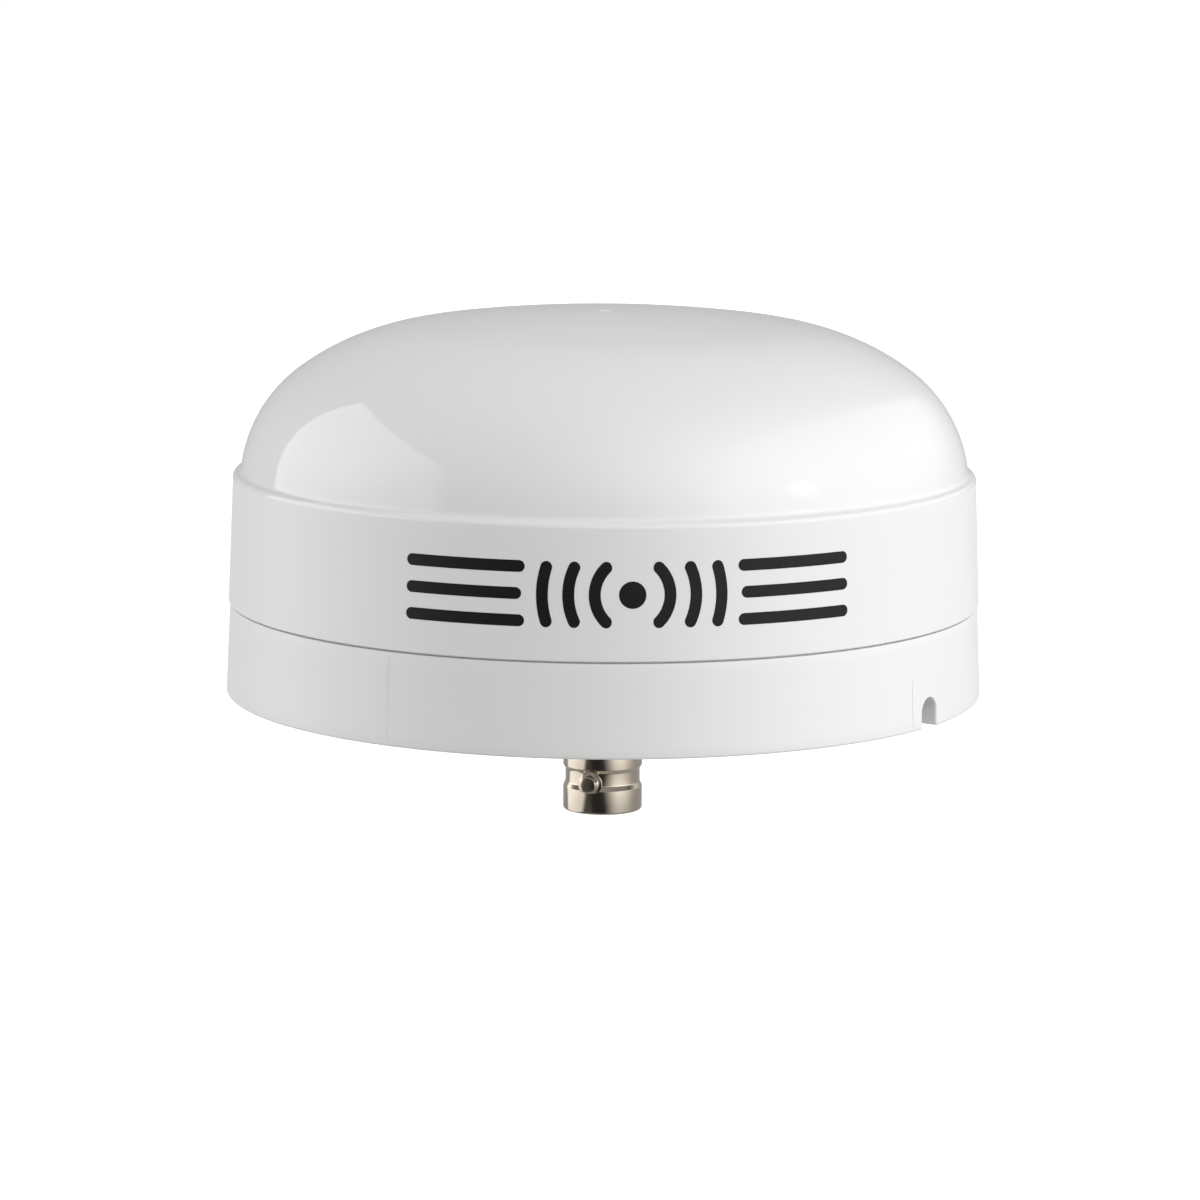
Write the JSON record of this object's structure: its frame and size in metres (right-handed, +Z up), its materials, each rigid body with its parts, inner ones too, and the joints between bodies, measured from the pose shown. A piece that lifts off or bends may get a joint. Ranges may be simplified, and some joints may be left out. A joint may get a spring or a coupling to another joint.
{
  "type": "gnss receiver antenna",
  "caption": "Round white marine satellite-positioning antenna unit with a domed radome, a seamed base ring, a bayonet coaxial jack underneath and a hidden twist-lock mounting plate.",
  "frame": {"origin": "centre of the deck plane that the mounting plate and the skirt stand on", "axes": "+Z up through the dome's apex, -Y towards the front with the printed band graphic, +X to the right seen from the front"},
  "size_m": [0.0916, 0.0916, 0.061],
  "materials": {
    "white_gloss_plastic": "gloss",
    "white_satin_plastic": "satin",
    "plate_plastic": "matt",
    "black_foam": "matt",
    "black_seal": "satin",
    "stainless_steel": "satin",
    "nickel_plate": "satin",
    "ptfe": "matt",
    "gold_contact": "polished",
    "brass": "satin",
    "board_laminate": "satin",
    "ceramic": "matt",
    "silver_plate": "satin",
    "adhesive": "matt",
    "solder": "satin",
    "tinned_steel": "satin",
    "chip_epoxy": "matt",
    "chip_ceramic": "matt",
    "cable_jacket": "satin",
    "vent_film": "matt"
  },
  "bodies": {
    "mount": {"mount_plate": "plate_plastic", "deck_gasket": "black_foam", "lock_screw": "stainless_steel"},
    "antenna": {"radome_cover": "white_gloss_plastic", "base_housing": "white_satin_plastic", "cover_seal_ring": "black_seal", "cover_inserts": "brass", "housing_screws": "stainless_steel", "jack_body": "nickel_plate", "jack_dielectric": "ptfe", "jack_contact": "gold_contact", "jack_seal_ring": "black_seal", "jack_washer": "nickel_plate", "jack_nut": "nickel_plate", "circuit_board": "board_laminate", "board_standoffs": "brass", "board_screws": "stainless_steel", "patch_adhesive_pad": "adhesive", "patch_ceramic": "ceramic", "patch_electrode": "silver_plate", "feed_pin": "silver_plate", "feed_solder": "solder", "shield_frame": "tinned_steel", "shield_lid": "tinned_steel", "band_filter": "chip_epoxy", "amplifier_chips": "chip_epoxy", "regulator_chip": "chip_epoxy", "chip_inductors": "chip_ceramic", "chip_capacitors": "chip_ceramic", "chip_resistors": "chip_epoxy", "signal_cable": "cable_jacket", "cable_plug": "gold_contact", "board_socket": "gold_contact", "vent_membrane": "vent_film"}
  },
  "joints": [
    {"name": "twist_lock", "type": "hinge", "parent": "mount", "child": "antenna", "pos_m": [0, 0, 0], "axis": [0, 0, 1], "range_deg": [0, 25]}
  ]
}
